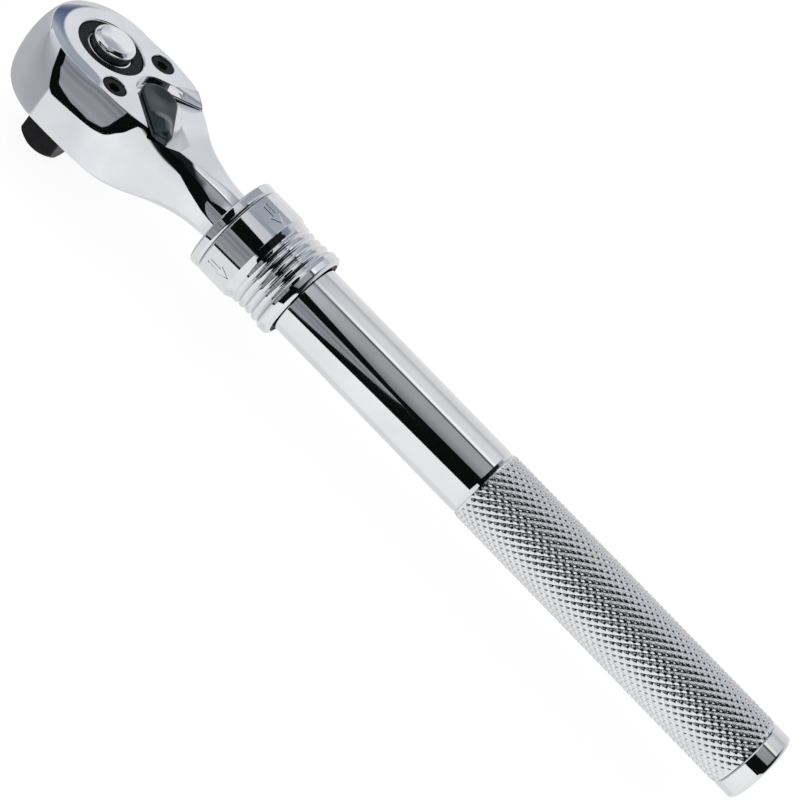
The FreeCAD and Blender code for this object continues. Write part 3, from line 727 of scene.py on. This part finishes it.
def knurl():
    """Diamond knurl: a lattice along both helices, so that every groove is a mesh edge."""
    turns = 2 * KNURL_STARTS * KNURL_STEPS
    pitch = KNURL_PITCH / (2 * KNURL_STEPS)
    rows = int((KNURL_END - KNURL_START) / pitch)
    base, peak = TUBE_R - 0.12, KNURL_R
    index, points, faces = {}, [], []

    def vertex(p, q):
        q %= turns
        if (p, q) not in index:
            a, b = ((q + p) / 2 / KNURL_STEPS) % 1, ((q - p) / 2 / KNURL_STEPS) % 1
            rise = min(1 - abs(2 * a - 1), 1 - abs(2 * b - 1))
            rise = min(1.0, rise * 1.12)
            fade = min(1.0, min(p, rows - p) / 4)
            radius = base + (peak - base) * (rise * fade + 0.35 * (1 - fade))
            turn = TURN * q / turns
            index[(p, q)] = len(points)
            points.append((KNURL_START + (KNURL_END - KNURL_START) * p / rows,
                           radius * math.cos(turn), radius * math.sin(turn)))
        return index[(p, q)]

    for p in range(rows + 1):
        for q in range(p % 2, turns + p % 2, 2):
            if 0 < p < rows:
                faces.append((vertex(p - 1, q + 1), vertex(p, q), vertex(p + 1, q + 1),
                              vertex(p, q + 2)))
            elif p == 0:
                faces.append((vertex(0, q), vertex(1, q + 1), vertex(0, q + 2)))
            else:
                faces.append((vertex(rows, q), vertex(rows, q + 2), vertex(rows - 1, q + 1)))
    mesh = bpy.data.meshes.new("knurled_grip")
    mesh.from_pydata([(x * MM, y * MM, (z + AXIS_Z) * MM) for x, y, z in points], [], faces)
    grip = bpy.data.objects.new("knurled_grip", mesh)
    bpy.context.scene.collection.objects.link(grip)
    outward = mesh.polygons[0].normal.dot(mesh.polygons[0].center - Vector((0.13, 0, AXIS_Z * MM)))
    if outward < 0:
        mesh.flip_normals()
    finish(grip, KNURL, angle=180, weighted=False)
    place(grip, "handle", "handle_chrome")


def tube():
    """Plain tube, the sleeve under the collar and the rounded end band."""
    outline = rounded([
        (46.6, 6.26, 0), (58.0, 6.26, 0), (58.0, 7.15, 0), (HANDLE_END, 7.15, 0.25),
        (HANDLE_END, BAND_R, 1.1), (205.4, BAND_R, 0.1), (204.9, TUBE_R - 0.22, 0.1),
        (204.5, TUBE_R - 0.3, 0), (125.0, TUBE_R - 0.3, 0), (124.4, TUBE_R - 0.2, 0.1),
        (123.6, TUBE_R, 0.8), (66.9, TUBE_R, 0.2), (66.9, 8.3, 0), (46.6, 8.3, 0.2)], 7)
    piece = lathe("handle_sleeve", outline, segments=192)
    holes = []
    for k in range(3):
        a = math.radians(90 + 120 * k)
        drill = lathe("drill", [(5.5, 0), (5.5, 1.56), (9.0, 1.56), (9.0, 0)], segments=40)
        for vertex in drill.data.vertices:
            out, side, up = vertex.co.x, vertex.co.y, vertex.co.z - AXIS_Z * MM
            vertex.co = (GROOVE_START * MM + up, out * math.cos(a) - side * math.sin(a),
                         AXIS_Z * MM + out * math.sin(a) + side * math.cos(a))
        holes.append(drill)
    carve(piece, holes)
    finish(piece, HANDLE)
    place(piece, "handle", "handle_chrome", "handle_tube")


def plug():
    """Disc that closes the handle, dished a little below the end band."""
    outline = rounded([(204.6, 0, 0), (204.6, 7.1, 0.4), (HANDLE_END, 7.1, 0.25),
                       (HANDLE_END, 6.2, 0), (HANDLE_END - 0.22, 5.9, 0.2),
                       (HANDLE_END - 0.22, 0, 0)], 5)
    piece = lathe("end_plug_disc", outline, segments=128)
    finish(piece, HANDLE)
    place(piece, "handle", "handle_chrome", "end_plug")


def cap():
    """Front cap ring, screwed into the sleeve before the collar."""
    outline = rounded([(44.5, 6.55, 0.15), (45.5, 6.55, 0), (45.5, 8.32, 0), (49.0, 8.32, 0),
                       (49.0, 9.2, 0), (47.2, 9.2, 0), (47.2, COLLAR_R, 0.75),
                       (44.5, COLLAR_R, 0.55)], 6)
    piece = lathe("front_cap_ring", outline, segments=192)
    finish(piece, COLLAR)
    place(piece, "handle", "collar_chrome", "front_cap")


def arrow_cutter(turn, radius, width, depth):
    """Outline of an arrow pointing along the handle, wrapped round the band."""
    front, rear, neck = 54.55, 48.9, 51.9
    half_shaft, half_head = 0.55, 1.5
    corners = [(rear, -half_shaft), (neck, -half_shaft), (neck, -half_head), (front, 0),
               (neck, half_head), (neck, half_shaft), (rear, half_shaft)]
    outline = []
    for i, (x, y) in enumerate(corners):
        nx, ny = corners[(i + 1) % len(corners)]
        for k in range(4):
            outline.append((x + (nx - x) * k / 4, y + (ny - y) * k / 4))
    count = len(outline)
    sides = [[], []]
    for i in range(count):
        here = Vector(outline[i])
        before = (here - Vector(outline[i - 1])).normalized()
        after = (Vector(outline[(i + 1) % count]) - here).normalized()
        normal = (before + after).orthogonal()
        if normal.dot(Vector((-after.y, after.x))) < 0:
            normal = -normal
        normal = normal.normalized() / max(0.35, math.cos(before.angle(after, 0) / 2))
        sides[0].append(here + normal * width / 2)
        sides[1].append(here - normal * width / 2)
    points, faces = [], []
    for r in (radius - depth, radius + 0.2):
        for path in sides:
            for p in path:
                a = turn + p.y / radius
                points.append((p.x, -r * math.cos(a), r * math.sin(a)))
    for i in range(count):
        j = (i + 1) % count
        low_out, low_in, high_out, high_in = 0, count, 2 * count, 3 * count
        faces.append((low_out + i, low_out + j, low_in + j, low_in + i))
        faces.append((high_out + j, high_out + i, high_in + i, high_in + j))
        faces.append((low_out + j, low_out + i, high_out + i, high_out + j))
        faces.append((low_in + i, low_in + j, high_in + j, high_in + i))
    return solid("arrow", points, faces)


def collar():
    """Sliding lock collar: engraved band, five round ribs and a flared rear flange."""
    corners = [(47.25, 9.3, 0), (47.25, COLLAR_R, 0.42), (55.45, COLLAR_R, 0.35), (56.4, 11.5, 0.8),
               (57.2, 11.25, 0.8), (58.15, 11.3, 0.6), (58.75, 10.66, 0.22)]
    corners += [(59.3, 11.25, 0.6), (60.05, 11.15, 0.6), (60.6, 10.56, 0.22),
                (61.15, 11.1, 0.6), (61.95, 11.1, 0.6), (62.5, 10.56, 0.22),
                (63.05, 11.25, 0.6), (63.85, 11.3, 0.6), (64.4, 10.74, 0.22)]
    corners += [(65.3, 11.6, 0.8), (66.1, 11.62, 0.8), (67.5, 11.5, 0.6), (68.1, 10.9, 0.25),
                (68.1, 10.2, 0), (57.2, 10.2, 0), (57.2, 9.3, 0), (54.8, 9.3, 0),
                (49.7, 10.25, 0), (47.9, 10.25, 0), (47.9, 9.3, 0)]
    piece = lathe("collar_shell", rounded(corners, 5), segments=192)
    cutters = [arrow_cutter(math.radians(76 + 90 * k), COLLAR_R, 0.24, 0.16) for k in range(4)]
    carve(piece, cutters)
    finish(piece, COLLAR)
    place(piece, "collar", "collar_chrome", "lock_collar")


# ---------------------------------------------------------------- studio

def grey(value, blue=0.0):
    return (value * (1 - blue), value * (1 - 0.65 * blue), value)


def glow_material(name):
    material = bpy.data.materials.new(name)
    material.use_nodes = True
    material.node_tree.nodes.clear()
    return material, material.node_tree


def card(name, outline, depth, stops):
    """Upright card before the tool, seen only in reflections; stops run up its height."""
    mesh = bpy.data.meshes.new(name)
    mesh.from_pydata([(x * MM, depth * MM, z * MM) for x, z in outline], [],
                     [tuple(range(len(outline)))])
    made = bpy.data.objects.new(name, mesh)
    bpy.context.scene.collection.objects.link(made)
    material, tree = glow_material(name)
    parts = node(tree, "ShaderNodeSeparateXYZ",
                 Vector=node(tree, "ShaderNodeTexCoord").outputs["Object"])
    low, high = stops[0][0], stops[-1][0]
    level = node(tree, "ShaderNodeMapRange", Value=parts.outputs["Z"], From_Min=low * MM,
                 From_Max=high * MM).outputs[0]
    shade = ramp(tree, level, [((z - low) / (high - low), grey(v, 0.08)) for z, v in stops])
    glow = node(tree, "ShaderNodeEmission", Color=shade, Strength=1.0)
    node(tree, "ShaderNodeOutputMaterial", Surface=glow.outputs[0])
    mesh.materials.append(material)
    hide_from_view(made)
    return made


def hide_from_view(made):
    made.visible_camera = False
    made.visible_diffuse = False
    made.visible_shadow = False


def floor():
    mesh = bpy.data.meshes.new("floor")
    far = 6.0
    mesh.from_pydata([(-far, -far, 0), (far, -far, 0), (far, far, 0), (-far, far, 0)],
                     [], [(0, 1, 2, 3)])
    made = bpy.data.objects.new("floor", mesh)
    bpy.context.scene.collection.objects.link(made)
    material, tree = glow_material("floor")
    paper = node(tree, "ShaderNodeBsdfDiffuse", Color=(0.12, 0.12, 0.12, 1))
    glow = node(tree, "ShaderNodeEmission", Color=(1, 1, 1, 1), Strength=0.9)
    both = node(tree, "ShaderNodeAddShader", i0=paper.outputs[0], i1=glow.outputs[0])
    node(tree, "ShaderNodeOutputMaterial", Surface=both.outputs[0])
    mesh.materials.append(material)
    made.visible_glossy = False


def light_tent():
    """Dome seen only in reflections: soft boxes as bands of height, softer to the left."""
    bpy.ops.mesh.primitive_uv_sphere_add(segments=64, ring_count=32, radius=3.0)
    dome = bpy.context.object
    dome.name = "light_tent"
    material, tree = glow_material("light_tent")
    where = node(tree, "ShaderNodeTexCoord").outputs["Object"]
    unit = node(tree, "ShaderNodeVectorMath", operation="NORMALIZE", i0=where).outputs[0]
    parts = node(tree, "ShaderNodeSeparateXYZ", Vector=unit)
    side, up = parts.outputs["X"], parts.outputs["Z"]
    toward = node(tree, "ShaderNodeMath", operation="MULTIPLY", i0=parts.outputs["Y"], i1=-1.0)
    height = node(tree, "ShaderNodeMath", operation="ARCTAN2", i0=up,
                  i1=toward.outputs[0]).outputs[0]
    height = node(tree, "ShaderNodeMapRange", Value=height, From_Min=-math.pi, From_Max=math.pi,
                  To_Min=0.0, To_Max=1.0).outputs[0]

    def bands(stops):
        return ramp(tree, height, [((e + 180) / 360, grey(v, b)) for e, v, b in stops])

    def between(low, high):
        return node(tree, "ShaderNodeMapRange", interpolation_type="SMOOTHSTEP", Value=side,
                    From_Min=low, From_Max=high).outputs[0]

    def mix(factor, first, second):
        made = node(tree, "ShaderNodeMix", data_type="RGBA")
        tree.links.new(factor, made.inputs["Factor"])
        tree.links.new(first, made.inputs[6])
        tree.links.new(second, made.inputs[7])
        return made.outputs[2]

    near = bands([(-180, 0.82, 0), (-112, 0.74, 0), (-92, 0.74, 0), (-80, 0.88, 0), (20, 0.93, 0),
                  (36, 0.18, 0.04), (46, 0.26, 0.06), (60, 0.36, 0.06), (82, 0.37, 0.06),
                  (84.5, 0.07, 0.1), (87.5, 0.07, 0.1), (90.5, 1.0, 0), (96, 0.95, 0),
                  (100, 0.76, 0.03), (122, 0.74, 0.03), (136, 0.56, 0.04),
                  (141, 0.56, 0.04), (144.5, 0.71, 0.03), (160, 0.74, 0.02), (180, 0.80, 0)])
    left = bands([(-180, 0.80, 0), (-10, 0.80, 0.02), (45, 0.74, 0.03), (76, 0.68, 0.05),
                  (80, 0.42, 0.16), (110, 0.44, 0.18), (140, 0.42, 0.16), (143.5, 0.80, 0.03),
                  (165, 0.76, 0.02), (180, 0.80, 0)])
    blue = bands([(-180, 0.62, 0), (-150, 0.50, 0.05), (-90, 0.50, 0.05), (-50, 0.43, 0.05),
                  (-27, 0.38, 0.06), (-5, 0.46, 0.05), (12, 0.64, 0.04), (30, 0.70, 0.03),
                  (60, 0.80, 0.02), (95, 0.62, 0.06), (108, 0.50, 0.14), (126, 0.48, 0.14),
                  (132, 0.50, 0.16), (137, 0.36, 0.36), (143, 0.27, 0.56), (148, 0.19, 0.60),
                  (150, 0.25, 0.42), (153, 0.34, 0.28), (157, 0.70, 0.02), (180, 0.70, 0)])
    right = bands([(-180, 0.80, 0), (-20, 0.88, 0), (20, 0.80, 0), (26, 0.013, 0.1),
                   (105, 0.013, 0.1), (109, 0.33, 0.28), (126, 0.36, 0.28), (134, 0.62, 0.04),
                   (160, 0.72, 0.02), (180, 0.80, 0)])
    colour = mix(between(-0.05, -0.15), near, left)
    colour = mix(between(-0.30, -0.36), colour, blue)
    colour = mix(between(0.20, 0.32), colour, right)
    glow = node(tree, "ShaderNodeEmission", Color=colour, Strength=1.0)
    node(tree, "ShaderNodeOutputMaterial", Surface=glow.outputs[0])
    dome.data.materials.append(material)
    hide_from_view(dome)


def studio():
    """White floor and sky, with the soft boxes and dark flags a chromed tool is lit by."""
    world = bpy.data.worlds.new("sky")
    bpy.context.scene.world = world
    world.use_nodes = True
    back = world.node_tree.nodes["Background"]
    back.inputs["Color"].default_value = (1, 1, 1, 1)
    back.inputs["Strength"].default_value = 1.0
    floor()
    light_tent()
    card("black_flag", [(-143, -252), (-101, -234), (-63, -222), (-37, -208), (3, -172),
                        (33, -138), (80, -75), (160, 2), (245, 103), (332, 194), (649, 308),
                        (900, 340), (1500, 700), (900, 1290), (61, 365), (-45, 640),
                        (-150, 900), (-700, 900), (-700, 360), (-340, -106), (-213, -224)],
         -500, [(-275, 0.004), (900, 0.004)])
    card("grey_panel", [(-126, -125), (-113, -150), (-98, -170), (-56, -172), (-29, -148),
                        (-8, -125), (14, -66), (40, 42), (64, 156), (70, 240), (-60, 260),
                        (-110, 380), (-430, 380), (-262, 90), (-243, 8), (-160, -65)], -495,
         [(-172, 0.30), (-120, 0.37), (-60, 0.30), (0, 0.33), (60, 0.24), (110, 0.31),
          (150, 0.20), (200, 0.28), (260, 0.34), (320, 0.42)])


def camera():
    """Long lens above and before the tool, rolled so that the handle runs down to the right."""
    target, distance = Vector((98.82, -0.23, 20.99)) * MM, 509.1 * MM
    azimuth, elevation, roll = math.radians(4.11), math.radians(33.92), math.radians(43.56)
    forward = Vector((-math.sin(azimuth) * math.cos(elevation),
                      math.cos(azimuth) * math.cos(elevation), -math.sin(elevation)))
    data = bpy.data.cameras.new("camera")
    data.lens, data.sensor_width = 105.16, 36.0
    data.clip_start, data.clip_end = 0.01, 50.0
    eye = bpy.data.objects.new("camera", data)
    bpy.context.scene.collection.objects.link(eye)
    eye.rotation_mode = "QUATERNION"
    turn = forward.to_track_quat("-Z", "Y") @ Matrix.Rotation(roll, 3, "Z").to_quaternion()
    eye.rotation_quaternion = turn
    eye.location = target - forward * distance
    bpy.context.scene.camera = eye
    bpy.context.scene.view_settings.view_transform = "Standard"


def dress_nodes():
    """The CAD nodes that stay in view take the finish of their slot."""
    slots = {n["node"]: n["material_slot"] for n in frame["record"]["subparts"]}
    for name, shown in frame["nodes"].items():
        material = FINISH[slots[name]]
        shown.data.materials.clear()
        shown.data.materials.append(material)


head_pieces()
shank()
screws()
drive()
button()
lever()
knurl()
tube()
plug()
cap()
collar()
dress_nodes()
studio()
camera()
